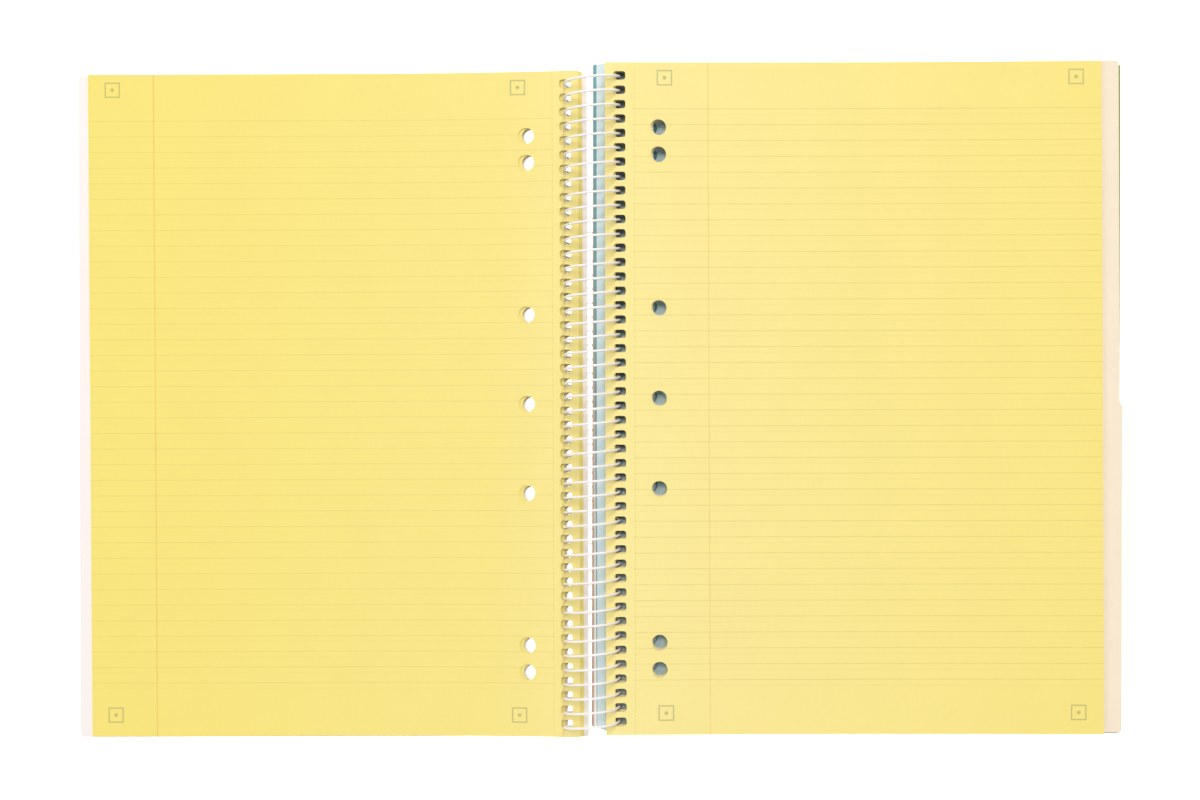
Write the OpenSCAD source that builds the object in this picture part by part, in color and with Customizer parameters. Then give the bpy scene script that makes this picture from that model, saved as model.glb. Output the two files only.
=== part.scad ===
// Coil-bound notebook with coloured sections, lying open flat.
// The binding runs along Y, the open pages lie to the left (-X) and to the
// right (+X), and Z = 0 is the table.  The coil's axis is parallel to Y.

/* [Leaves] */
// Length of every leaf and cover along the binding
page_h = 297.6; // [292:0.1:300]
// Width of a leaf, bound edge to outer edge
page_w = 220; // [180:1:222]
// Width of a section divider, without its index tab
divider_w = 227.5; // [200:0.1:228]
// Width of the two covers
cover_w = 229; // [220:0.5:230]
// How far the index tab stands out of the first divider at its upper end
tab_out = 1.2; // [0.5:0.1:2]
// How far it still stands out at the corner of the card
tab_end = 0.4; // [0.2:0.1:0.5]
// Corner radius of the cards and covers
corner_r = 1.5; // [0.5:0.1:4]

/* [Thickness] */
// Greyboard back cover
back_cover_t = 0.9; // [0.7:0.05:1]
// Front cover board
front_cover_t = 0.7; // [0.5:0.05:0.8]
// Leaves already turned to the left
turned_t = 0.6; // [0.3:0.05:0.8]

/* [Coil] */
// Number of turns, and of slots in every leaf
turns = 46; // [40:1:46]
// Pitch of the coil and of the slots
pitch = 6.35; // [6.3:0.01:6.38]
// Outer diameter of the coil
coil_od = 25.6; // [25.5:0.1:25.8]
// Diameter of the wire
wire_d = 1.1; // [0.9:0.05:1.15]

/* [Punching] */
// Slot size across the binding
slot_w = 5.3; // [5.1:0.1:5.5]
// Slot size across the binding in the two covers
cover_slot_w = 5.6; // [5.4:0.1:5.8]
// Slot size along the binding
slot_h = 3.8; // [3.7:0.05:3.9]
// Leaf's bound edge to the near end of its slots
slot_edge = 3.8; // [3.6:0.05:4]
// Filing hole diameter
file_d = 7; // [6:0.1:7.5]
// Leaf's bound edge to the filing hole centres
file_x = 23.7; // [22:0.1:25]
// Filing hole positions along the leaf, from its middle
file_y = [-120, -108, -40, 0, 40, 108, 120];

/* [Hidden] */
$fn = 48;

// Coil: centreline radius and the height of its axis over the table
coil_r = (coil_od - wire_d) / 2;
// The faceted helix is drawn through points a little outside that line
helix_r = coil_r * 1.0096;
coil_z = helix_r + wire_d / 2;

// The part's origin is under the middle of its bounding box
shift_x = -1.93;
shift_y = 0.62;

// Play of the wire in the slots along Y at rest
play_right = -0.2;
play_left = -1.1;

// Height of the right-hand stack's underside over the table, by X from the
// coil's axis: the back cover rides over the bottom of the coil
lift_tab = [[8, 2.5], [30, 1.6], [48, 1.0], [65, 0.6], [74, 0.35], [88, 0]];
// Height of its top face: the leaves lie looser towards their outer edge
top_tab = [[8, 17.4], [30, 16.85], [48, 16.4], [65, 16.1], [74, 15.9],
           [88, 15.7], [120, 15.7], [145, 16.1], [163, 16.4], [181, 16.8],
           [198, 17.4], [216, 17.8]];
stack_t = 14.9;   // thickness of the stack at the binding
stiff_t = 1.25;   // lowest part of it, cards that don't loosen
stack_xs = [-6, 8, 30, 48, 65, 74, 88, 120, 145, 163, 181, 198, 216, 245];

// Thickness levels of the right-hand stack, upwards from its underside
lev_back = back_cover_t;
lev_teal = 1.25;
lev_blue = 6.2;
lev_green = 9.1;
lev_green_card = 9.4;
lev_peach = 12.4;
lev_peach_card = 12.7;
lev_yellow = stack_t;

// Profile of the turned leaves' top face, by X from the coil's axis
turned_tab = [[-4.2, 6.3], [-5.4, 7.1], [-6.4, 8.1], [-8.2, 8.8], [-9.6, 8.9],
              [-17.9, 7.3], [-26.9, 6.0], [-35.8, 5.0], [-44.9, 3.9],
              [-53.9, 3.1], [-62.9, 2.5], [-80.9, 1.7], [-100, 1.3],
              [-240, 1.3]];
// How far the lower ones of them hang loose from the top one
hang_tab = [[-4.2, 0.2], [-5.4, 0.5], [-6.4, 0.9], [-8.2, 1.2], [-9.6, 1.3],
            [-17.9, 1.1], [-26.9, 0.7], [-35.8, 0.4], [-44.9, 0.2],
            [-53.9, 0.1], [-62.9, 0], [-240, 0]];
// Underside of the front cover
front_tab = [[0, 3.1], [-2.3, 3.2], [-6.5, 3.6], [-12, 3.4], [-25, 2.0],
             [-40, 0.8], [-60, 0], [-240, 0]];

function lift(x) = lookup(x, lift_tab);
function ztop(x) = lookup(x, top_tab);
function loose(x) = (ztop(x) - lift(x) - stiff_t) / (stack_t - stiff_t);
// Height of thickness level t of the right-hand stack at X
function layer_z(x, t) =
    lift(x) + min(t, stiff_t) + max(t - stiff_t, 0) * loose(x);

// Height of level t at the binding, where the stack is flat
function spine_z(t) = lift(8) + t;
// Where the wire passes height z: its X to the right, and its angle
function wire_x(z) = sqrt(coil_r * coil_r - pow(z - coil_z, 2));
function wire_phi(z) = asin((z - coil_z) / coil_r);
// The bound edge of a leaf that hangs on the wire at height z: the wire
// crosses it at a slant, so it takes more of the slot lower down
function edge_x(z) =
    wire_x(z) - 1.1 - wire_d / 2 / cos(wire_phi(z)) - slot_edge;
// The middle of a leaf along Y: every leaf follows the coil's helix
function right_y(z) = -pitch * wire_phi(z) / 360 - play_right;
function left_y(z) = -pitch * (180 - wire_phi(z)) / 360 - play_left;

// Plan of a slot: a rectangle with its four corners cut
module slot_plan(w, h, c = 0.7) {
    polygon([[0, c - h / 2], [c, -h / 2], [w - c, -h / 2], [w, c - h / 2],
             [w, h / 2 - c], [w - c, h / 2], [c, h / 2], [0, h / 2 - c]]);
}

// A row of slots from x = 0, leaning by (ax, ay) degrees about height z0
module slots(z0, len, ax = 0, ay = 0, w = slot_w) {
    for (k = [0 : turns - 1])
        translate([0, (k - (turns - 1) / 2) * pitch, z0])
            rotate([ax, ay, 0])
                linear_extrude(height = len, center = true)
                    slot_plan(w * cos(ay), slot_h);
}

// The filing holes, on a leaf whose bound edge is at x = 0
module filing_holes(z0, z1, dx = 0) {
    for (y = file_y)
        translate([file_x + dx, y, z0]) cylinder(d = file_d, h = z1 - z0);
}

// Outline of a card with rounded corners, bound edge on x = 0
function arc(cx, cy, r, a0) =
    [for (i = [0 : 4]) [cx + r * cos(a0 + i * 22.5), cy + r * sin(a0 + i * 22.5)]];
module card_plan(w, h, r, tab = 0, tab1 = 0) {
    if (tab == 0)
        polygon(concat(arc(w - r, h / 2 - r, r, 0), arc(r, h / 2 - r, r, 90),
                       arc(r, r - h / 2, r, 180), arc(w - r, r - h / 2, r, 270)));
    else
        polygon(concat(arc(w - r, h / 2 - r, r, 0), arc(r, h / 2 - r, r, 90),
                       arc(r, r - h / 2, r, 180),
                       arc(w + tab1 - r, r - h / 2, r, 270),
                       [[w + tab, -4.3], [w, -2.3]]));
}

// The space between thickness levels t0 and t1 of the right-hand stack
module slab(t0, t1) {
    n = len(stack_xs) - 1;
    rotate([90, 0, 0])
        linear_extrude(height = page_h + 40, center = true)
            polygon(concat(
                [for (x = stack_xs) [x, layer_z(x, t0)]],
                [for (i = [n : -1 : 0]) [stack_xs[i], layer_z(stack_xs[i], t1)]]));
}

// A single card of the right-hand stack, turned a little about Z
module right_card(t0, t1, x0, w, turn, tab = 0, tab1 = 0, sw = slot_w) {
    z = spine_z((t0 + t1) / 2);
    intersection() {
        slab(t0, t1);
        translate([0, right_y(z), 0]) rotate([0, 0, turn])
            translate([x0, 0, 0]) difference() {
                translate([0, 0, -5]) linear_extrude(height = 35)
                    card_plan(w, page_h, corner_r, tab, tab1);
                translate([slot_edge, 0, 0]) slots(10, 40, w = sw);
                filing_holes(-10, 40);
            }
    }
}

// A block of leaves of the right-hand stack: its bound edge leans as the
// leaves follow the curve of the coil
module right_block(t0, t1, turn, dx = 0) {
    z0 = spine_z(t0);
    z1 = spine_z(t1);
    zm = (z0 + z1) / 2;
    e0 = edge_x(z0) + dx;
    e1 = edge_x(z1) + dx;
    em = (e0 + e1) / 2;
    lean = (e1 - e0) / (z1 - z0);
    ay = atan(lean);
    ax = atan(-(right_y(z1) - right_y(z0)) / (z1 - z0));
    o0 = layer_z(page_w, t0);
    o1 = layer_z(page_w, t1);
    lean_o = (e1 - e0) / (o1 - o0);
    intersection() {
        slab(t0, t1);
        translate([0, right_y(zm), 0]) difference() {
            rotate([0, 0, turn]) difference() {
                rotate([90, 0, 0])
                    linear_extrude(height = page_h, center = true)
                        polygon([[e0 + lean * (-6 - z0), -6],
                                 [page_w + e0 + lean_o * (-6 - o0), -6],
                                 [page_w + e0 + lean_o * (30 - o0), 30],
                                 [e0 + lean * (30 - z0), 30]]);
                translate([em + slot_edge, 0, 0])
                    slots(zm, (z1 - z0) * 1.6 + 3, ax, ay);
            }
            translate([em, 0, 0]) filing_holes(-10, 40);
        }
    }
}

// One continuous helix of round wire; its angle runs from a0 down to a1,
// past the last slots at both ends
module spiral_wire() {
    a0 = 250;
    a1 = -72 - 360 * (turns - 1);
    per_turn = 16;
    sides = 6;
    n = ceil((a0 - a1) / (360 / per_turn));
    step = (a0 - a1) / n;
    y_mid = pitch * (turns - 1) / 2;
    rise = atan(pitch / (2 * PI * coil_r));
    pts = [for (i = [0 : n]) let (a = a0 - i * step)
        for (j = [0 : sides - 1]) let (b = j * 360 / sides,
            dr = wire_d / 2 * cos(b), dt = wire_d / 2 * sin(b))
            [(helix_r + dr) * cos(a) - dt * sin(rise) * sin(a),
             -pitch * a / 360 - y_mid + dt * cos(rise),
             coil_z + (helix_r + dr) * sin(a) + dt * sin(rise) * cos(a)]];
    walls = [for (i = [0 : n - 1]) for (j = [0 : sides - 1])
        let (k = (j + 1) % sides)
        for (f = [[i * sides + j, i * sides + k, (i + 1) * sides + k],
                  [i * sides + j, (i + 1) * sides + k, (i + 1) * sides + j]]) f];
    ends = [[for (j = [sides - 1 : -1 : 0]) j],
            [for (j = [0 : sides - 1]) n * sides + j]];
    color("snow") translate([shift_x, shift_y, 0])
        polyhedron(points = pts, faces = concat(walls, ends), convexity = 10);
}

// Light board, pinkish white inside, bent up over the bottom of the coil
module front_cover() {
    n = len(front_tab) - 1;
    color("mistyrose") translate([shift_x, shift_y, 0])
        translate([0, left_y(4), 0]) rotate([0, 0, 0.2]) intersection() {
            rotate([90, 0, 0])
                linear_extrude(height = page_h + 40, center = true)
                    polygon(concat(
                        [for (p = front_tab) p],
                        [for (i = [n : -1 : 0])
                            [front_tab[i][0], front_tab[i][1] + front_cover_t]]));
            translate([-1.8, 0, 0]) mirror([1, 0, 0]) difference() {
                translate([0, 0, -5]) linear_extrude(height = 35)
                    card_plan(cover_w, page_h, corner_r);
                translate([slot_edge, 0, 0]) slots(10, 40, w = cover_slot_w);
                filing_holes(-10, 40, 0.8);
            }
        }
}

// The first ruled leaves, turned over to the left on to the front cover
module turned_leaves() {
    n = len(turned_tab) - 1;
    color("khaki") translate([shift_x, shift_y, 0])
        translate([0, left_y(8.6), 0]) rotate([0, 0, 0.2]) intersection() {
            rotate([90, 0, 0])
                linear_extrude(height = page_h + 40, center = true)
                    polygon(concat(
                        [for (p = turned_tab) p],
                        [for (i = [n : -1 : 0])
                            [turned_tab[i][0], turned_tab[i][1] - turned_t
                             - lookup(turned_tab[i][0], hang_tab)]]));
            translate([-4.3, 0, 0]) mirror([1, 0, 0]) difference() {
                translate([0, 0, -5]) linear_extrude(height = 35)
                    card_plan(page_w + 1, page_h, 0.6);
                translate([slot_edge, 0, 0]) slots(10, 40);
                filing_holes(-10, 40, -0.6);
            }
        }
}

// The top section of ruled leaves on the right
module yellow_leaves() {
    color("palegoldenrod") translate([shift_x, shift_y, 0])
        right_block(lev_peach_card, lev_yellow, 0.13);
}

// Peach card with an index tab along its lower half
module peach_divider() {
    z = spine_z(lev_peach + 0.15);
    color("peachpuff") translate([shift_x, shift_y, 0])
        right_card(lev_peach, lev_peach_card, edge_x(z) - 0.25, divider_w, 0.2,
                   tab_out, tab_end);
}

module peach_leaves() {
    color("bisque") translate([shift_x, shift_y, 0])
        right_block(lev_green_card, lev_peach, 0);
}

// Olive green card, a little wider than the peach one and turned the other way,
// so that its edge shows along the upper half
module green_divider() {
    z = spine_z(lev_green + 0.15);
    color("darkseagreen") translate([shift_x, shift_y, 0])
        right_card(lev_green, lev_green_card, edge_x(z) + 0.05, divider_w + 0.6,
                   -0.11);
}

module green_leaves() {
    color("honeydew") translate([shift_x, shift_y, 0])
        right_block(lev_blue, lev_green, 0);
}

module blue_leaves() {
    color("lightblue") translate([shift_x, shift_y, 0])
        right_block(lev_teal, lev_blue, 0.07, -0.35);
}

// Teal card, turned so that its edge shows at the top end of the binding
module teal_divider() {
    color("cadetblue") translate([shift_x, shift_y, 0])
        right_card(lev_back, lev_teal, 1.22, divider_w, 0.35);
}

// Greyboard cover, lined white, over the bottom of the coil
module back_cover() {
    color("tan") translate([shift_x, shift_y, 0])
        right_card(0, lev_back, 0.1, cover_w, -0.13, sw = cover_slot_w);
}

spiral_wire();
front_cover();
turned_leaves();
yellow_leaves();
peach_divider();
peach_leaves();
green_divider();
green_leaves();
blue_leaves();
teal_divider();
back_cover();
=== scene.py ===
import math
import random

import bpy
import numpy as np
from mathutils.geometry import delaunay_2d_cdt
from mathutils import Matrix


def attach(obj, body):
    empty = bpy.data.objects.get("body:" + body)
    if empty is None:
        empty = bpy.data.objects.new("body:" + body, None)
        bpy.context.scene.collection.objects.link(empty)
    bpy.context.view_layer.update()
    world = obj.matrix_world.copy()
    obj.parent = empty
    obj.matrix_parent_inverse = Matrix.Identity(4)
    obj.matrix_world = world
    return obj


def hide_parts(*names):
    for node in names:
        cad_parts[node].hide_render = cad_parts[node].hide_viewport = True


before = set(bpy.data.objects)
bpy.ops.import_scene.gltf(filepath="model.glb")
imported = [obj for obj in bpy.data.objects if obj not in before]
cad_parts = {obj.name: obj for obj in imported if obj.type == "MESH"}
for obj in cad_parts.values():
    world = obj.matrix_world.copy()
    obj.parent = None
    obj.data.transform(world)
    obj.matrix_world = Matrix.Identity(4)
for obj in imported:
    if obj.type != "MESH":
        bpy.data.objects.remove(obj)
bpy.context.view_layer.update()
rng = random.Random(46)

# ---------------------------------------------------------------- dimensions
# Millimetres, with X measured from the coil's axis, as in the part's source.
MM = 0.001
SHIFT_X, SHIFT_Y = -1.93, 0.62
PAGE_H, PAGE_W = 297.6, 220.0
DIVIDER_W, COVER_W, TAB_OUT, TAB_END = 227.5, 229.0, 1.2, 0.4
TURNS, PITCH = 46, 6.35
COIL_R, WIRE_R = 12.25, 0.55
HELIX_R = COIL_R * 1.0096
COIL_Z = HELIX_R + WIRE_R
SLOT_W, COVER_SLOT_W, SLOT_H, SLOT_EDGE = 5.3, 5.6, 3.8, 3.8
FILE_D, FILE_X = 7.0, 23.7
FILE_Y = (-120, -108, -40, 0, 40, 108, 120)
STACK_T, STIFF_T = 14.9, 1.25
LEV_BACK, LEV_TEAL, LEV_BLUE, LEV_GREEN, LEV_GREEN_CARD = 0.9, 1.25, 6.2, 9.1, 9.4
LEV_PEACH, LEV_PEACH_CARD, LEV_YELLOW = 12.4, 12.7, 14.9
FRONT_COVER_T, TURNED_T = 0.7, 0.6


class Curve:
    """A smooth curve through a table of points that never overshoots them."""

    def __init__(self, table, start_flat=False, end_flat=False):
        pts = sorted(table)
        self.x = np.array([p[0] for p in pts], float)
        self.y = np.array([p[1] for p in pts], float)
        h, dy = np.diff(self.x), np.diff(self.y)
        d = dy / h
        m = np.zeros(len(pts))
        m[0], m[-1] = (0 if start_flat else d[0]), (0 if end_flat else d[-1])
        for i in range(1, len(pts) - 1):
            if d[i - 1] * d[i] > 0:
                w1, w2 = 2 * h[i] + h[i - 1], h[i] + 2 * h[i - 1]
                m[i] = (w1 + w2) / (w1 / d[i - 1] + w2 / d[i])
        self.h, self.m = h, m

    def __call__(self, x):
        x = np.clip(np.asarray(x, float), self.x[0], self.x[-1])
        i = np.clip(np.searchsorted(self.x, x, side="right") - 1, 0, len(self.h) - 1)
        h = self.h[i]
        t = (x - self.x[i]) / h
        return (
            (2 * t**3 - 3 * t**2 + 1) * self.y[i]
            + (t**3 - 2 * t**2 + t) * h * self.m[i]
            + (-2 * t**3 + 3 * t**2) * self.y[i + 1]
            + (t**3 - t**2) * h * self.m[i + 1]
        )


lift = Curve([(8, 2.5), (30, 1.6), (48, 1.0), (65, 0.6), (74, 0.35), (88, 0)], True, True)
z_top = Curve(
    [(8, 17.4), (30, 16.85), (48, 16.4), (65, 16.1), (74, 15.9), (88, 15.7),
     (120, 15.7), (145, 16.1), (163, 16.4), (181, 16.8), (198, 17.4), (216, 17.8)],
    True, True)
turned_top = Curve(
    [(-4.2, 6.3), (-5.4, 7.1), (-6.4, 8.1), (-8.2, 8.8), (-9.6, 8.9), (-17.9, 7.3),
     (-26.9, 6.0), (-35.8, 5.0), (-44.9, 3.9), (-53.9, 3.1), (-62.9, 2.5),
     (-80.9, 1.7), (-100, 1.3), (-240, 1.3)])
hang = Curve(
    [(-4.2, 0.2), (-5.4, 0.5), (-6.4, 0.9), (-8.2, 1.2), (-9.6, 1.3), (-17.9, 1.1),
     (-26.9, 0.7), (-35.8, 0.4), (-44.9, 0.2), (-53.9, 0.1), (-62.9, 0), (-240, 0)])
top_leaf_top = Curve(
    [(-4.2, 8.6), (-5.6, 8.7), (-7.4, 8.85), (-9.6, 8.9), (-17.9, 7.3), (-26.9, 6.0),
     (-35.8, 5.0), (-44.9, 3.9), (-53.9, 3.1), (-62.9, 2.5), (-80.9, 1.7), (-100, 1.3), (-240, 1.3)])
front_under = Curve(
    [(0, 3.1), (-2.3, 3.2), (-6.5, 3.6), (-12, 3.4), (-25, 2.0), (-40, 0.8),
     (-60, 0), (-240, 0)])


def layer_z(x, t):
    """Height of thickness level t of the right-hand stack at X."""
    loose = (z_top(x) - lift(x) - STIFF_T) / (STACK_T - STIFF_T)
    return lift(x) + np.minimum(t, STIFF_T) + np.maximum(t - STIFF_T, 0) * loose


def spine_z(t):
    return 2.5 + t


def wire_x(z):
    return math.sqrt(COIL_R**2 - (z - COIL_Z) ** 2)


def wire_phi(z):
    return math.degrees(math.asin((z - COIL_Z) / COIL_R))


def edge_x(z):
    return wire_x(z) - 1.1 - WIRE_R / math.cos(math.radians(wire_phi(z))) - SLOT_EDGE


def right_y(z):
    return -PITCH * wire_phi(z) / 360 + 0.2


def left_y(z):
    return -PITCH * (180 - wire_phi(z)) / 360 + 1.1


# -------------------------------------------------------------- plan meshes
def loop_rect(x0, x1, y0, y1, r, n):
    pts = []
    for cx, cy, a0 in ((x1 - r, y1 - r, 0), (x0 + r, y1 - r, 90),
                       (x0 + r, y0 + r, 180), (x1 - r, y0 + r, 270)):
        for i in range(n + 1):
            a = math.radians(a0 + 90 * i / n)
            pts.append((cx + r * math.cos(a), cy + r * math.sin(a)))
    return pts


def loop_circle(cx, cy, r, n):
    return [(cx + r * math.cos(2 * math.pi * i / n), cy + r * math.sin(2 * math.pi * i / n))
            for i in range(n)]


def inside(loop, p):
    """Which points p lie inside the convex loop, given counter-clockwise."""
    q = np.array(loop)
    e = np.roll(q, -1, axis=0) - q
    ok = np.ones(len(p), bool)
    for (ax, ay), (ex, ey) in zip(q, e):
        ok &= ex * (p[:, 1] - ay) - ey * (p[:, 0] - ax) > 0
    return ok


def leaf_plan(w, stations, corner, slot_w=SLOT_W, tab=0.0, x_in=0.0, slot_r=1.2,
              slot_edge=SLOT_EDGE, slot_h=SLOT_H, file_x=FILE_X):
    """A leaf in plan with its slots and filing holes, bound edge on x = 0."""
    h = PAGE_H
    outline = loop_rect(x_in, w, -h / 2, h / 2, corner, 5)
    if tab:
        low = loop_rect(x_in, w + TAB_END, -h / 2, h / 2, corner, 5)[18:]
        outline = outline[:18] + low + [(w + tab, -4.3), (w, -2.3)]
    cuts = []
    for k in range(TURNS):
        y = (k - (TURNS - 1) / 2) * PITCH
        cuts.append(loop_rect(slot_edge, slot_edge + slot_w, y - slot_h / 2, y + slot_h / 2, slot_r, 3))
    holes = [loop_circle(file_x, y, FILE_D / 2, 28) for y in FILE_Y]
    pts, edges = [], []
    for loop in [outline] + cuts + holes:
        n0 = len(pts)
        pts += loop
        edges += [(n0 + i, n0 + (i + 1) % len(loop)) for i in range(len(loop))]
    for x in stations:
        if x_in + corner + 0.2 < x < w - corner - 0.2:
            edges.append((len(pts), len(pts) + 1))
            pts += [(x, -h / 2), (x, h / 2)]
    co, _, faces, _, _, _ = delaunay_2d_cdt(pts, edges, [], 0, 1e-5, False)
    v = np.array([(c[0], c[1]) for c in co], float)
    f = np.array([tuple(t) for t in faces if len(t) == 3], int)
    a, b, c = v[f[:, 0]], v[f[:, 1]], v[f[:, 2]]
    area = (b[:, 0] - a[:, 0]) * (c[:, 1] - a[:, 1]) - (b[:, 1] - a[:, 1]) * (c[:, 0] - a[:, 0])
    f[area < 0] = f[area < 0][:, ::-1]
    f = f[np.abs(area) > 1e-7]
    mid = v[f].mean(axis=1)
    keep = np.ones(len(f), bool)
    for loop in cuts + holes:
        q = np.array(loop)
        near = np.all((mid > q.min(0)) & (mid < q.max(0)), axis=1)
        if near.any():
            idx = np.nonzero(near)[0]
            keep[idx[inside(loop, mid[idx])]] = False
    if tab:
        keep &= ~((mid[:, 0] > w) & (mid[:, 1] > -4.3 + (w + tab - mid[:, 0]) * 2.0 / tab))
    f = f[keep]
    used = np.unique(f)
    index = np.full(len(v), -1)
    index[used] = np.arange(len(used))
    v, f = v[used], index[f]
    count = {}
    for t in f:
        for i in range(3):
            count[(t[i], t[(i + 1) % 3])] = count.get((t[i], t[(i + 1) % 3]), 0) + 1
    rim = np.array([e for e in count if (e[1], e[0]) not in count], int)
    return v, f, rim


class Sheets:
    """Collects closed thin sheets into one mesh."""

    def __init__(self):
        self.co, self.faces, self.mats, self.n = [], [], [], 0

    def add(self, plan, place, z0, z1, mats, mirrored=False):
        v, f, rim = plan
        x, y = place(v[:, 0], v[:, 1])
        n = len(v)
        self.co.append(np.c_[x, y, z1(x)])
        self.co.append(np.c_[x, y, z0(x)])
        top, low, wall = f + self.n, f[:, ::-1] + self.n + n, np.c_[
            rim[:, 0] + n, rim[:, 1] + n, rim[:, 1], rim[:, 0]] + self.n
        if mirrored:
            top, low, wall = top[:, ::-1], low[:, ::-1], wall[:, ::-1]
        for part, m in ((top, mats[0]), (low, mats[1]), (wall, mats[2])):
            self.faces += part.tolist()
            self.mats += [m] * len(part)
        self.n += 2 * n

    def build(self, name, node, body, materials):
        co = (np.concatenate(self.co) + np.array([SHIFT_X, SHIFT_Y, 0])) * MM
        me = bpy.data.meshes.new(name)
        me.from_pydata(co.tolist(), [], self.faces)
        for m in materials:
            me.materials.append(m)
        me.polygons.foreach_set("material_index", np.array(self.mats, np.int32))
        me.shade_smooth()
        me.set_sharp_from_angle(angle=math.radians(38))
        me.update()
        ob = bpy.data.objects.new(name, me)
        bpy.context.scene.collection.objects.link(ob)
        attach(ob, body)
        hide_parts(node)
        return ob


# ----------------------------------------------------------------- materials
def new_material(name):
    mat = bpy.data.materials.new(name)
    mat.use_nodes = True
    nt = mat.node_tree
    nt.nodes.clear()
    out = nt.nodes.new("ShaderNodeOutputMaterial")
    bsdf = nt.nodes.new("ShaderNodeBsdfPrincipled")
    nt.links.new(bsdf.outputs[0], out.inputs[0])
    return mat, nt, bsdf


def math_node(nt, op, a, b=None, c=None, clamp=False):
    node = nt.nodes.new("ShaderNodeMath")
    node.operation = op
    node.use_clamp = clamp
    for i, val in enumerate((a, b, c)):
        if val is None:
            continue
        if isinstance(val, (int, float)):
            node.inputs[i].default_value = val
        else:
            nt.links.new(val, node.inputs[i])
    return node.outputs[0]


def mix_colour(nt, fac, a, b, blend="MIX"):
    node = nt.nodes.new("ShaderNodeMix")
    node.data_type = "RGBA"
    node.blend_type = blend
    for socket, val in ((node.inputs[0], fac), (node.inputs[6], a), (node.inputs[7], b)):
        if isinstance(val, (int, float)):
            socket.default_value = val
        elif isinstance(val, tuple):
            socket.default_value = (*val, 1.0)
        else:
            nt.links.new(val, socket)
    return node.outputs[2]


def noise(nt, coords, scale, detail=3.0, rough=0.55, stretch=None):
    if stretch:
        mp = nt.nodes.new("ShaderNodeMapping")
        mp.inputs["Scale"].default_value = stretch
        nt.links.new(coords, mp.inputs["Vector"])
        coords = mp.outputs[0]
    node = nt.nodes.new("ShaderNodeTexNoise")
    node.inputs["Scale"].default_value = scale
    node.inputs["Detail"].default_value = detail
    node.inputs["Roughness"].default_value = rough
    nt.links.new(coords, node.inputs["Vector"])
    return node.outputs["Fac"]


def remap(nt, value, lo, hi, to_lo, to_hi):
    node = nt.nodes.new("ShaderNodeMapRange")
    node.inputs["From Min"].default_value = lo
    node.inputs["From Max"].default_value = hi
    node.inputs["To Min"].default_value = to_lo
    node.inputs["To Max"].default_value = to_hi
    nt.links.new(value, node.inputs["Value"])
    return node.outputs[0]


def lin(r, g, b):
    """Linear colour from one given on the 0-255 display scale."""
    def f(c):
        c /= 255
        return c / 12.92 if c <= 0.04045 else ((c + 0.055) / 1.055) ** 2.4
    return (f(r), f(g), f(b))


def scaled(c, k):
    return tuple(min(1.0, v * k) for v in c)


def paper_base(nt, coords, colour, cloud=0.03, fibre=0.035):
    """Paper colour with cloudy formation, and short fibres along the leaf."""
    a = mix_colour(nt, noise(nt, coords, 45, 4), scaled(colour, 1 - cloud), scaled(colour, 1 + cloud))
    fib = noise(nt, coords, 900, 2, 0.6, stretch=(1.0, 0.35, 1.0))
    return mix_colour(nt, remap(nt, fib, 0.35, 0.65, 0, fibre), a, scaled(colour, 0.72))


def paper_finish(nt, bsdf, coords, rough=0.82, bump=0.12, height=None):
    grain = noise(nt, coords, 2600, 3, 0.6)
    felt = noise(nt, coords, 420, 3, 0.5)
    total = math_node(nt, "MULTIPLY_ADD", felt, 0.5, grain)
    if height is not None:
        total = math_node(nt, "MULTIPLY_ADD", height, -3.0, total)
    b = nt.nodes.new("ShaderNodeBump")
    b.inputs["Strength"].default_value = bump
    b.inputs["Distance"].default_value = 0.00006
    nt.links.new(total, b.inputs["Height"])
    nt.links.new(b.outputs[0], bsdf.inputs["Normal"])
    nt.links.new(remap(nt, felt, 0.3, 0.7, rough - 0.05, rough + 0.05), bsdf.inputs["Roughness"])
    bsdf.inputs["Specular IOR Level"].default_value = 0.22


def paper(name, colour, **kw):
    mat, nt, bsdf = new_material(name)
    coords = nt.nodes.new("ShaderNodeTexCoord").outputs["Object"]
    nt.links.new(paper_base(nt, coords, colour, kw.pop("cloud", 0.03), kw.pop("fibre", 0.035)),
                 bsdf.inputs["Base Color"])
    paper_finish(nt, bsdf, coords, **kw)
    return mat


def band(nt, value, centre, half, soft):
    """1 within half of centre, falling to 0 over soft."""
    d = math_node(nt, "ABSOLUTE", math_node(nt, "SUBTRACT", value, centre))
    return remap_clamped(nt, d, half + soft, half)


def remap_clamped(nt, value, at0, at1):
    node = nt.nodes.new("ShaderNodeMapRange")
    node.clamp = True
    node.inputs["From Min"].default_value = at0
    node.inputs["From Max"].default_value = at1
    node.inputs["To Min"].default_value = 0
    node.inputs["To Max"].default_value = 1
    nt.links.new(value, node.inputs["Value"])
    return node.outputs[0]


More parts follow.
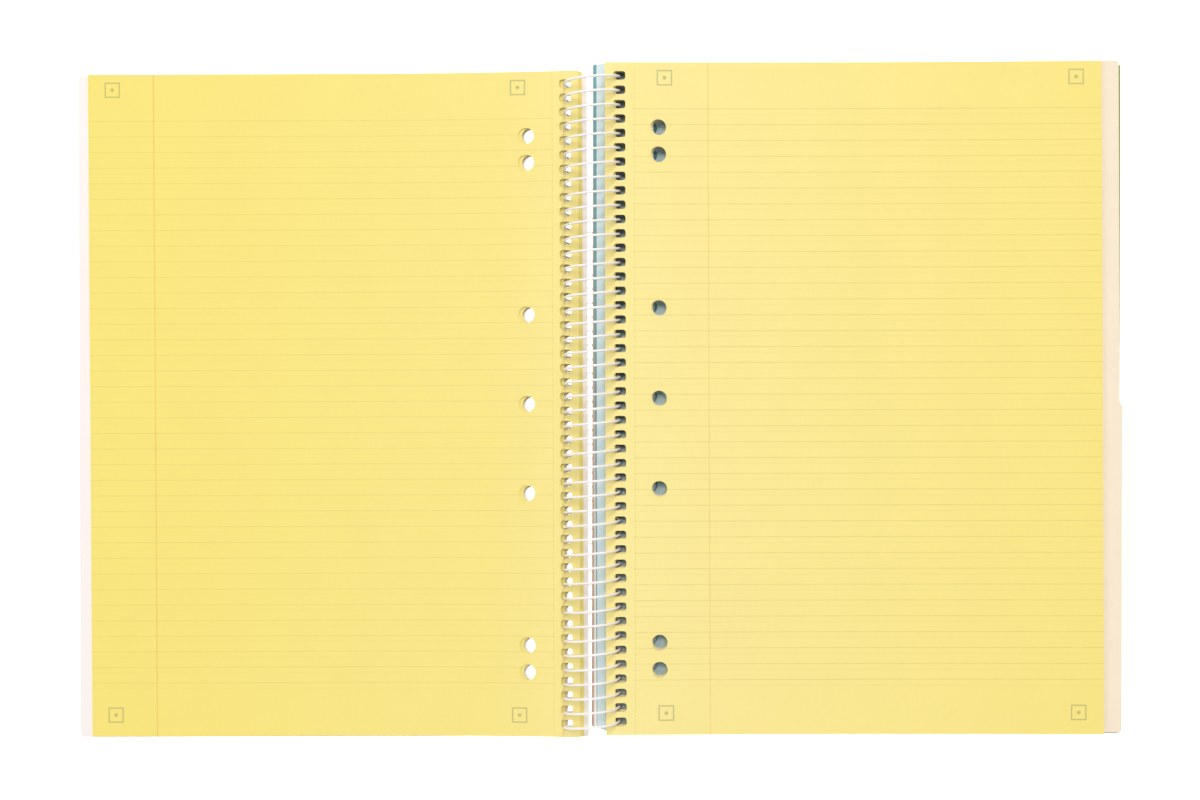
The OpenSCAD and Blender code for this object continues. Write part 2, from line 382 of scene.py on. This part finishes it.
def ruled_page(name, colour, origin, turn, left, rule, margin, mark, margin_x, mark_x, mark_y, rule_k, margin_k, askew, ramp):
    """A ruled leaf: 7 mm ruling, a margin line, a perforation by the binding
    with painted shade in its cuts, the ruling of the other side showing through,
    and a plain square outline near each corner."""
    mat, nt, bsdf = new_material(name)
    coords = nt.nodes.new("ShaderNodeTexCoord").outputs["Object"]
    mp = nt.nodes.new("ShaderNodeMapping")
    mp.vector_type = "TEXTURE"
    mp.inputs["Location"].default_value = (origin[0], origin[1], 0)
    mp.inputs["Rotation"].default_value = (0, 0, turn)
    mp.inputs["Scale"].default_value = (-MM if left else MM, MM, MM)
    nt.links.new(coords, mp.inputs["Vector"])
    sep = nt.nodes.new("ShaderNodeSeparateXYZ")
    nt.links.new(mp.outputs[0], sep.inputs[0])
    x, y = sep.outputs[0], sep.outputs[1]
    # paler by the binding, yellower towards the outer edge
    inner, middle, outer = colour
    tint = mix_colour(nt, remap_clamped(nt, x, 8, 42), inner, middle)
    tint = mix_colour(nt, remap_clamped(nt, x, 42, 212), tint, outer)
    cloud = remap(nt, noise(nt, coords, 45, 4), 0, 1, 0.98, 1.02)
    both = nt.nodes.new("ShaderNodeVectorMath")
    both.operation = "SCALE"
    nt.links.new(tint, both.inputs[0])
    nt.links.new(cloud, both.inputs["Scale"])
    fib = noise(nt, coords, 900, 2, 0.6, stretch=(1.0, 0.35, 1.0))
    base = mix_colour(nt, remap(nt, fib, 0.35, 0.65, 0, 0.03), both.outputs[0], scaled(middle, 0.72))
    bent = math_node(nt, "MULTIPLY", remap_clamped(nt, x, *ramp), y)
    x = math_node(nt, "MULTIPLY_ADD", bent, -0.8 * askew if left else askew, x)

    first_rule = 127.7 if left else 128.1
    # ink takes unevenly
    ink = remap(nt, noise(nt, coords, 160, 3), 0.3, 0.7, 0.72, 1.12)

    def ruling(first, half, soft):
        step = math_node(nt, "DIVIDE", math_node(nt, "SUBTRACT", y, first), RULE_STEP)
        near = math_node(nt, "ABSOLUTE", math_node(nt, "SUBTRACT", step, math_node(nt, "ROUND", step)))
        line = remap_clamped(nt, math_node(nt, "MULTIPLY", near, RULE_STEP), half + soft, half)
        area = math_node(nt, "MULTIPLY", remap_clamped(nt, y, first - 36 * RULE_STEP - 1.5, first - 36 * RULE_STEP - 1.0),
                         remap_clamped(nt, y, first + 1.5, first + 1.0))
        return math_node(nt, "MULTIPLY", math_node(nt, "MULTIPLY", line, area), remap_clamped(nt, x, 12.3, 12.7))

    rules = math_node(nt, "MULTIPLY", math_node(nt, "MULTIPLY", ruling(first_rule, 0.14, 0.12), ink), rule_k)
    through = math_node(nt, "MULTIPLY", ruling(first_rule - 2.5, 0.2, 0.35), rule_k * 0.16)
    base = mix_colour(nt, through, base, rule)
    base = mix_colour(nt, rules, base, rule)
    edge = math_node(nt, "MULTIPLY", math_node(nt, "MULTIPLY", band(nt, x, margin_x, 0.16, 0.12), ink), margin_k)
    base = mix_colour(nt, edge, base, margin)

    # square outlines with a dot, folded on to one quadrant
    fx = math_node(nt, "SUBTRACT", math_node(nt, "ABSOLUTE", math_node(nt, "SUBTRACT", x, mark_x)), 91.0)
    fy = math_node(nt, "SUBTRACT", math_node(nt, "ABSOLUTE", math_node(nt, "SUBTRACT", y, mark_y)), 140.5)
    d = math_node(nt, "MAXIMUM", math_node(nt, "ABSOLUTE", fx), math_node(nt, "ABSOLUTE", fy))
    frame_line = band(nt, d, 3.15, 0.24, 0.12)
    dot2 = math_node(nt, "MULTIPLY_ADD", fx, fx, math_node(nt, "MULTIPLY", fy, fy))
    dot = remap_clamped(nt, dot2, 0.85, 0.6)
    base = mix_colour(nt, math_node(nt, "MULTIPLY", math_node(nt, "MAXIMUM", frame_line, dot), 0.6), base, mark)

    # perforation: a row of short cuts, bumped in as a groove, with painted shade darkening the cuts
    cut = math_node(nt, "PINGPONG", y, 0.9)
    dash = remap_clamped(nt, cut, 0.62, 0.5)
    perf_groove_and_shade = math_node(nt, "MULTIPLY", band(nt, x, 13.1, 0.07, 0.08), dash)
    # painted shade: the cuts mixed towards a darker yellow
    base = mix_colour(nt, math_node(nt, "MULTIPLY", perf_groove_and_shade, 0.35), base, scaled(middle, 0.45))
    nt.links.new(base, bsdf.inputs["Base Color"])
    paper_finish(nt, bsdf, coords, 0.8, 0.12, height=perf_groove_and_shade)
    return mat


RULE_STEP = 7.018
ASKEW_LEFT, ASKEW_RIGHT = 0.0035, 0.0017
EXPOSE = 1 / 1.22
YELLOW_R = scaled(lin(252, 234, 147), EXPOSE)
YELLOW_L = scaled(lin(250, 231, 132), EXPOSE)
PEACH = scaled(lin(250, 234, 210), EXPOSE)
PEACH_PAPER = scaled(lin(250, 236, 214), EXPOSE)
OLIVE = scaled(lin(151, 169, 88), EXPOSE)
GREEN_PAPER = scaled(lin(214, 226, 196), EXPOSE)
BLUE_PAPER = scaled(lin(222, 238, 239), EXPOSE)
TEAL = scaled(lin(122, 167, 172), EXPOSE)
PINKISH = scaled(lin(253, 244, 240), EXPOSE)
BROWN = scaled(lin(206, 180, 162), EXPOSE)
RULE = scaled(lin(172, 160, 104), EXPOSE)
MARGIN = scaled(lin(240, 176, 92), EXPOSE)
MARK = scaled(lin(160, 165, 120), EXPOSE)

right_top_z0, right_top_z1 = spine_z(LEV_PEACH_CARD), spine_z(LEV_YELLOW)
yellow_turn = math.radians(0.13)
y_origin = right_y((right_top_z0 + right_top_z1) / 2)
e_top = edge_x(right_top_z1)
m_yellow = paper("yellow_leaf_paper", YELLOW_R, fibre=0.04)
m_page_right = ruled_page(
    "yellow_ruled_page", tuple(scaled(lin(*c), EXPOSE) for c in ((252, 235, 155), (252, 234, 152), (251, 231, 134))),
    ((SHIFT_X + e_top) * MM, (SHIFT_Y + y_origin) * MM), yellow_turn, False,
    RULE, MARGIN, MARK, 45.95, 117.6, 1.3, 0.24, 0.36, ASKEW_RIGHT, (14, 40))
m_yellow_left = paper("turned_leaf_paper", YELLOW_L, fibre=0.04)
m_page_left = ruled_page(
    "turned_ruled_page", tuple(scaled(lin(*c), EXPOSE) for c in ((250, 232, 150), (250, 231, 137), (250, 230, 125))),
    ((SHIFT_X - 4.3) * MM, (SHIFT_Y + left_y(8.6)) * MM), math.radians(0.2), True,
    RULE, MARGIN, MARK, 192.05, 119.6, 1.2, 0.17, 0.6, ASKEW_LEFT, (30, 90))
m_peach_card = paper("peach_card_stock", PEACH, fibre=0.05, bump=0.18, rough=0.75)
m_peach = paper("peach_leaf_paper", PEACH_PAPER)
m_green_card = paper("olive_card_stock", OLIVE, fibre=0.06, bump=0.18, rough=0.75)
m_green = paper("green_leaf_paper", GREEN_PAPER)
m_blue = paper("blue_leaf_paper", BLUE_PAPER)
m_teal = paper("teal_card_stock", TEAL, fibre=0.06, bump=0.18, rough=0.75)
m_front = paper("front_cover_board", PINKISH, cloud=0.012, fibre=0.02, bump=0.1, rough=0.6)
m_lining = paper("cover_lining_paper", PINKISH, cloud=0.015, fibre=0.025, bump=0.1, rough=0.7)
m_board = paper("greyboard_core", BROWN, cloud=0.08, fibre=0.25, bump=0.5, rough=0.92)


def wire_material():
    mat, nt, bsdf = new_material("white_nylon_coating")
    coords = nt.nodes.new("ShaderNodeTexCoord").outputs["Object"]
    c = scaled(lin(255, 250, 249), EXPOSE)
    cloud = noise(nt, coords, 260, 3)
    nt.links.new(mix_colour(nt, cloud, scaled(c, 0.96), scaled(c, 1.03)), bsdf.inputs["Base Color"])
    nt.links.new(remap(nt, noise(nt, coords, 900, 2), 0.3, 0.7, 0.3, 0.42), bsdf.inputs["Roughness"])
    b = nt.nodes.new("ShaderNodeBump")
    b.inputs["Strength"].default_value = 0.1
    b.inputs["Distance"].default_value = 0.00004
    nt.links.new(noise(nt, coords, 1500, 2), b.inputs["Height"])
    nt.links.new(b.outputs[0], bsdf.inputs["Normal"])
    bsdf.inputs["Specular IOR Level"].default_value = 0.45
    bsdf.inputs["Coat Weight"].default_value = 0.15
    bsdf.inputs["Coat Roughness"].default_value = 0.25
    return mat


# ------------------------------------------------------- right-hand stack
RIGHT_X = (1.4, 2.8, 3.9, 9.5, 11.5, 14, 17, 19.6, 28, 31, 35, 40, 45, 50, 56, 62, 68, 74,
           80, 88, 98, 110, 122, 132, 141, 150, 158, 166, 174, 181, 188, 194, 200, 206, 212, 217)
plan_leaf = leaf_plan(PAGE_W - 0.35, RIGHT_X, 0.08)
plan_card = leaf_plan(DIVIDER_W, RIGHT_X, 1.1)
plan_wide_card = leaf_plan(DIVIDER_W + 0.6, RIGHT_X, 1.0)
plan_tab = leaf_plan(DIVIDER_W, RIGHT_X, 1.1, tab=TAB_OUT)
plan_cover = leaf_plan(COVER_W, RIGHT_X, 1.5, slot_w=COVER_SLOT_W)
plan_lining = leaf_plan(COVER_W, RIGHT_X, 0.3, slot_w=COVER_SLOT_W, x_in=1.15)


def turned_place(x0, turn, y0):
    c, s = math.cos(turn), math.sin(turn)

    def place(u, v):
        x = u + x0
        return x * c - v * s, x * s + v * c + y0
    return place


def block(name, node, t0, t1, turn, count, mats, top_mat=None, dx=0.0, askew=0.0):
    """Leaves laid one on another, each hanging on the wire at its own height,
    a little unevenly spread towards the outer edge."""
    z0, z1 = spine_z(t0), spine_z(t1)
    e0, e1 = edge_x(z0) + dx, edge_x(z1) + dx
    ya, yb = right_y(z0), right_y(z1)
    weight = np.array([0.9 + 0.3 * rng.random() for _ in range(count)])
    even = np.linspace(0, 1, count + 1)
    uneven = np.r_[0, np.cumsum(weight) / weight.sum()]
    t_leaf = (t1 - t0) / count * 0.82
    sheets = Sheets()
    for i in range(count):
        s = (i + 0.5) / count
        jx, jy, jw, jr = (rng.uniform(-1, 1) for _ in range(4))
        last = i == count - 1
        if last:
            jx = jy = jw = jr = 0
        x0 = e0 + (e1 - e0) * s + 0.04 * jx
        place = turned_place(x0, turn + math.radians(0.008 * jr), ya + (yb - ya) * s + 0.05 * jy)
        stretch = 1 + 0.12 * jw / PAGE_W

        def wide(u, v, place=place, k=stretch):
            u = np.where(u > 40, u * k - 40 * (k - 1), u)
            return place(u - askew * v * np.clip((u - 14) / 26, 0, 1), v)

        def level(x, i=i):
            b = np.clip((x - 30) / 170, 0, 1)
            b = b * b * (3 - 2 * b)
            return t0 + (t1 - t0) * (even[i] * (1 - b) + uneven[i] * b)

        def top_level(x, i=i):
            b = np.clip((x - 30) / 170, 0, 1)
            b = b * b * (3 - 2 * b)
            return t0 + (t1 - t0) * (even[i + 1] * (1 - b) + uneven[i + 1] * b)

        if last:
            hi = lambda x: layer_z(x, top_level(x))
            lo = lambda x: layer_z(x, top_level(x) - t_leaf)
        else:
            lo = lambda x: layer_z(x, level(x))
            hi = lambda x: layer_z(x, level(x) + t_leaf)
        sheets.add(plan_leaf, wide, lo, hi, (1 if last and top_mat else 0, 0, 0))
    return sheets.build(name, node, "page_stack", mats + ([top_mat] if top_mat else []))


def card(name, node, t0, t1, x0, turn, plan, mats):
    y0 = right_y(spine_z((t0 + t1) / 2))
    sheets = Sheets()
    gap = 0.02
    sheets.add(plan, turned_place(x0, math.radians(turn), y0),
               lambda x: layer_z(x, t0 + gap), lambda x: layer_z(x, t1 - gap), (0, 0, 0))
    return sheets.build(name, node, "page_stack", mats)


block("yellow_leaf_sheets", "yellow_leaves", LEV_PEACH_CARD, LEV_YELLOW,
      yellow_turn, 9, [m_yellow], m_page_right, askew=ASKEW_RIGHT)
card("peach_divider_card", "peach_divider", LEV_PEACH, LEV_PEACH_CARD,
     edge_x(spine_z(LEV_PEACH + 0.15)) - 0.25, 0.2, plan_tab, [m_peach_card])
block("peach_leaf_sheets", "peach_leaves", LEV_GREEN_CARD, LEV_PEACH, 0, 12, [m_peach])
card("green_divider_card", "green_divider", LEV_GREEN, LEV_GREEN_CARD,
     edge_x(spine_z(LEV_GREEN + 0.15)) + 0.05, -0.11, plan_wide_card, [m_green_card])
block("green_leaf_sheets", "green_leaves", LEV_BLUE, LEV_GREEN, 0, 11, [m_green])
block("blue_leaf_sheets", "blue_leaves", LEV_TEAL, LEV_BLUE, math.radians(0.07), 20, [m_blue], dx=-0.35)
card("teal_divider_card", "teal_divider", LEV_BACK, LEV_TEAL, 1.22, 0.35, plan_card, [m_teal])

# The back cover: greyboard with a lining sheet on each side, which stops a
# little short of the bound edge
sheets = Sheets()
back_place = turned_place(0.1, math.radians(-0.13), right_y(spine_z(LEV_BACK / 2)))
sheets.add(plan_lining, back_place, lambda x: layer_z(x, 0.0), lambda x: layer_z(x, 0.1), (0, 0, 0))
sheets.add(plan_cover, back_place, lambda x: layer_z(x, 0.1), lambda x: layer_z(x, 0.78), (1, 1, 1))
sheets.add(plan_lining, back_place, lambda x: layer_z(x, 0.78), lambda x: layer_z(x, 0.89), (0, 0, 0))
sheets.build("back_cover_board", "back_cover", "page_stack", [m_lining, m_board])

# ------------------------------------------------------------- left-hand side
LEFT_X = (0.5, 1.0, 1.5, 2.0, 2.6, 3.2, 3.8, 4.6, 5.6, 6.8, 8.2, 9.6, 11, 12.5, 14, 16, 18, 20.5,
          23.7, 27, 30, 33, 36, 40, 44, 48, 52, 56, 61, 66, 72, 78, 85, 93, 105, 130, 160, 190, 212)
plan_turned = leaf_plan(PAGE_W + 1.2, LEFT_X, 0.3, slot_w=4.85, slot_edge=3.55, file_x=23.3)
plan_top_leaf = leaf_plan(PAGE_W + 0.1, LEFT_X, 0.1, slot_w=5.05, slot_edge=3.5, file_x=23.6)
plan_front = leaf_plan(COVER_W, LEFT_X, 1.5, slot_w=COVER_SLOT_W, file_x=24.5)


def mirrored_place(x0, turn, y0, askew=0.0):
    """Left-hand placement; beyond its bend a leaf may lie a little askew."""
    c, s = math.cos(turn), math.sin(turn)

    def place(u, v):
        x = x0 - u - askew * v * np.clip((u - 30) / 60, 0, 1)
        return x * c - v * s, x * s + v * c + y0
    return place


sheets = Sheets()
leaves = 4
for i in range(leaves):
    up = TURNED_T * (leaves - 1 - i) / leaves
    last = i == leaves - 1
    jr = 0 if last else 0.01 * rng.uniform(-1, 1)
    x0 = -5.6 if last else -4.1 - 0.05 * i
    y0 = left_y(8.6) - (0 if last else 0.14)
    if last:
        top = top_leaf_top
    else:
        top = lambda x, up=up: turned_top(x) - up - hang(x)
    sheets.add(plan_top_leaf if last else plan_turned,
               mirrored_place(x0, math.radians(0.2 + jr), y0, ASKEW_LEFT),
               lambda x, top=top: top(x) - 0.125, top, (1 if last else 0, 0, 0), True)
sheets.build("turned_leaf_sheets", "turned_leaves", "front_half",
             [m_yellow_left, m_page_left])

sheets = Sheets()
sheets.add(plan_front, mirrored_place(-1.8, math.radians(0.2), left_y(4)),
           lambda x: front_under(x) + 0.0, lambda x: front_under(x) + FRONT_COVER_T, (0, 0, 0), True)
sheets.build("front_cover_board", "front_cover", "front_half", [m_front])


# ------------------------------------------------------------------- the coil
def coil():
    per_turn, sides, r = 48, 12, 12.33
    a0, a1 = 250.0, -72.0 - 360 * (TURNS - 1)
    n = int((a0 - a1) / (360 / per_turn))
    rise = math.atan(PITCH / (2 * math.pi * r))
    y_mid = PITCH * (TURNS - 1) / 2
    rings = [(a0 - i * (a0 - a1) / n, WIRE_R) for i in range(n + 1)]
    step = math.degrees(WIRE_R / r)
    caps = [(math.sin(math.radians(b)), math.cos(math.radians(b))) for b in (20, 40, 60, 78)]
    rings = ([(a0 + step * s * 0.6, WIRE_R * c) for s, c in reversed(caps)] + rings
             + [(a1 - step * s * 0.6, WIRE_R * c) for s, c in caps])
    co = []
    for a, wr in rings:
        a = math.radians(a)
        for j in range(sides):
            b = 2 * math.pi * j / sides
            dr, dt = wr * math.cos(b), wr * math.sin(b)
            co.append(((r + dr) * math.cos(a) - dt * math.sin(rise) * math.sin(a),
                       -PITCH * math.degrees(a) / 360 - y_mid + dt * math.cos(rise),
                       COIL_Z + (r + dr) * math.sin(a) + dt * math.sin(rise) * math.cos(a)))
    faces = []
    for i in range(len(rings) - 1):
        for j in range(sides):
            k = (j + 1) % sides
            faces.append((i * sides + j, i * sides + k, (i + 1) * sides + k, (i + 1) * sides + j))
    faces.append(tuple(range(sides))[::-1])
    faces.append(tuple(range((len(rings) - 1) * sides, len(rings) * sides)))
    me = bpy.data.meshes.new("spiral_wire_coil")
    me.from_pydata([((x + SHIFT_X) * MM, (y + SHIFT_Y) * MM, z * MM) for x, y, z in co], [], faces)
    me.materials.append(wire_material())
    me.shade_smooth()
    me.update()
    ob = bpy.data.objects.new("spiral_wire_coil", me)
    bpy.context.scene.collection.objects.link(ob)
    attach(ob, "coil")
    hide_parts("spiral_wire")


coil()

# -------------------------------------------------------- floor, light, camera
floor_me = bpy.data.meshes.new("floor")
s = 5.0
floor_me.from_pydata([(-s, -s, -0.00006), (s, -s, -0.00006), (s, s, -0.00006), (-s, s, -0.00006)], [], [(0, 1, 2, 3)])
floor = bpy.data.objects.new("floor", floor_me)
bpy.context.scene.collection.objects.link(floor)
mat, nt, bsdf = new_material("pale_floor")
coords = nt.nodes.new("ShaderNodeTexCoord").outputs["Object"]
nt.links.new(mix_colour(nt, noise(nt, coords, 3, 2), (0.93, 0.93, 0.93), (0.95, 0.95, 0.95)),
             bsdf.inputs["Base Color"])
bsdf.inputs["Roughness"].default_value = 0.9
bsdf.inputs["Specular IOR Level"].default_value = 0.1
bsdf.inputs["Emission Color"].default_value = (1, 1, 1, 1)
bsdf.inputs["Emission Strength"].default_value = 0.95
floor_me.materials.append(mat)

world = bpy.data.worlds.new("studio")
bpy.context.scene.world = world
world.use_nodes = True
world.node_tree.nodes["Background"].inputs[0].default_value = (1, 1, 1, 1)
world.node_tree.nodes["Background"].inputs[1].default_value = 0.34


def softbox(name, place, aim, size, power):
    data = bpy.data.lights.new(name, "AREA")
    data.shape = "SQUARE"
    data.size = size
    data.energy = power
    ob = bpy.data.objects.new(name, data)
    bpy.context.scene.collection.objects.link(ob)
    ob.location = place
    from mathutils import Vector
    ob.rotation_mode = "QUATERNION"
    ob.rotation_quaternion = (Vector(aim) - Vector(place)).to_track_quat("-Z", "Y")
    return ob


softbox("key_softbox", (0.25, 2.1, 3.1), (0, 0, 0), 1.0, 52)
softbox("side_softbox", (-2.4, 0.3, 2.8), (0, 0, 0), 1.4, 22)
softbox("top_softbox", (-0.1, 0.75, 3.5), (0, 0, 0), 0.8, 53)
softbox("fill_softbox", (0.5, -2.0, 2.8), (0, 0, 0), 1.6, 10)

cam_data = bpy.data.cameras.new("camera")
cam_data.sensor_fit = "HORIZONTAL"
cam_data.sensor_width = 36
cam_data.lens = 2082 / 1200 * 36
cam_data.clip_start, cam_data.clip_end = 0.01, 50
cam = bpy.data.objects.new("camera", cam_data)
bpy.context.scene.collection.objects.link(cam)
cam.location = (0.00164, -0.00014, 0.9376)
cam.rotation_euler = (0, 0, 0)
bpy.context.scene.camera = cam

bpy.context.scene.view_settings.view_transform = "Standard"
bpy.context.scene.view_settings.look = "None"
